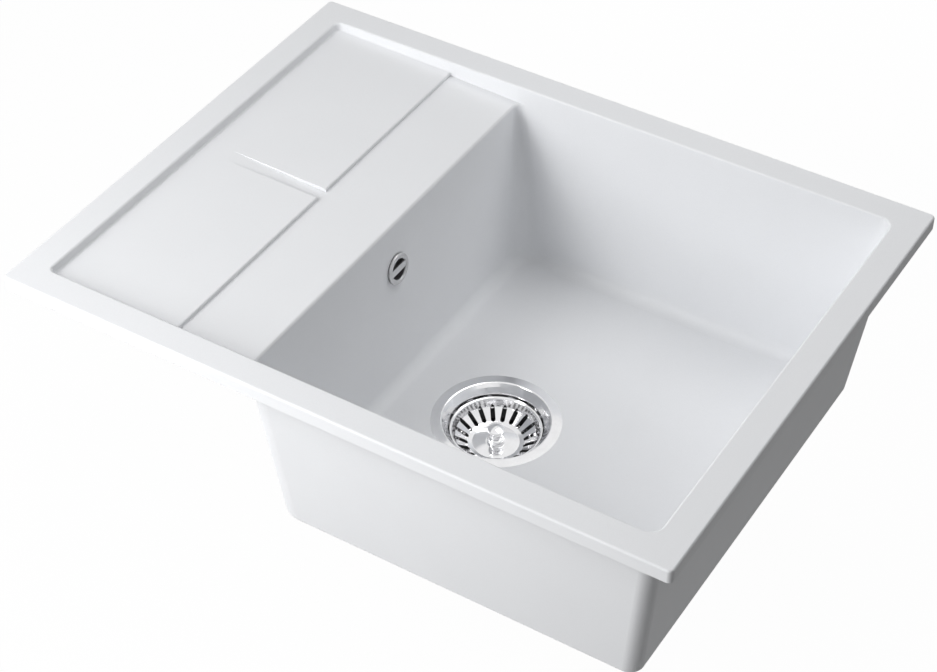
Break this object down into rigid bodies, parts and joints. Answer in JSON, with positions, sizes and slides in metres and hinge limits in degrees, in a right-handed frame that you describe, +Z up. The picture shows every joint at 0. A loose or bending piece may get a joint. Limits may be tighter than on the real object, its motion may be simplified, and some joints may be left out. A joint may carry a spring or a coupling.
{
  "type": "kitchen sink",
  "caption": "White inset kitchen sink with a deep bowl, a short stepped drainer, a lift-out basket strainer with plug, an overflow and its waste fitting.",
  "frame": {"origin": "middle of the rim's underside, which rests on the worktop", "axes": "+X from the drainer to the bowl, -Y to the front, +Z up"},
  "size_m": [0.62, 0.48, 0.2597],
  "materials": {
    "composite": "smooth matt white moulded quartz composite",
    "polished_steel": "polished stainless steel",
    "satin_steel": "satin stainless steel",
    "chrome": "bright chrome plate",
    "black_rubber": "matt black rubber",
    "white_plastic": "moulded white polypropylene",
    "grey_plastic": "moulded dark grey polypropylene",
    "brass": "turned brass"
  },
  "bodies": {
    "sink": {"sink_body": "composite", "strainer_cup": "polished_steel", "clamp_screw": "polished_steel", "screw_washer": "polished_steel", "overflow_rosette": "satin_steel", "flange_seal": "black_rubber", "body_seal": "black_rubber", "rosette_seal": "black_rubber", "rear_seal": "black_rubber", "elbow_ring": "black_rubber", "waste_ring": "black_rubber", "waste_body": "white_plastic", "screw_bridge": "white_plastic", "overflow_elbow": "white_plastic", "overflow_pipe": "white_plastic", "elbow_nut": "grey_plastic", "waste_nut": "grey_plastic", "insert_nut": "brass"},
    "plug": {"basket_knob": "chrome", "basket_stem": "polished_steel", "plug_seal": "black_rubber", "stem_clip": "grey_plastic"},
    "basket": {"strainer_basket": "polished_steel"}
  },
  "joints": [
    {"name": "plug_lift", "type": "slide", "parent": "sink", "child": "plug", "axis": [0, 0, 1], "range_m": [0, 0.25]},
    {"name": "basket_turn", "type": "hinge", "parent": "plug", "child": "basket", "pos_m": [0.03, -0.0135, -0.1897], "axis": [0, 0, 1], "continuous": true}
  ]
}
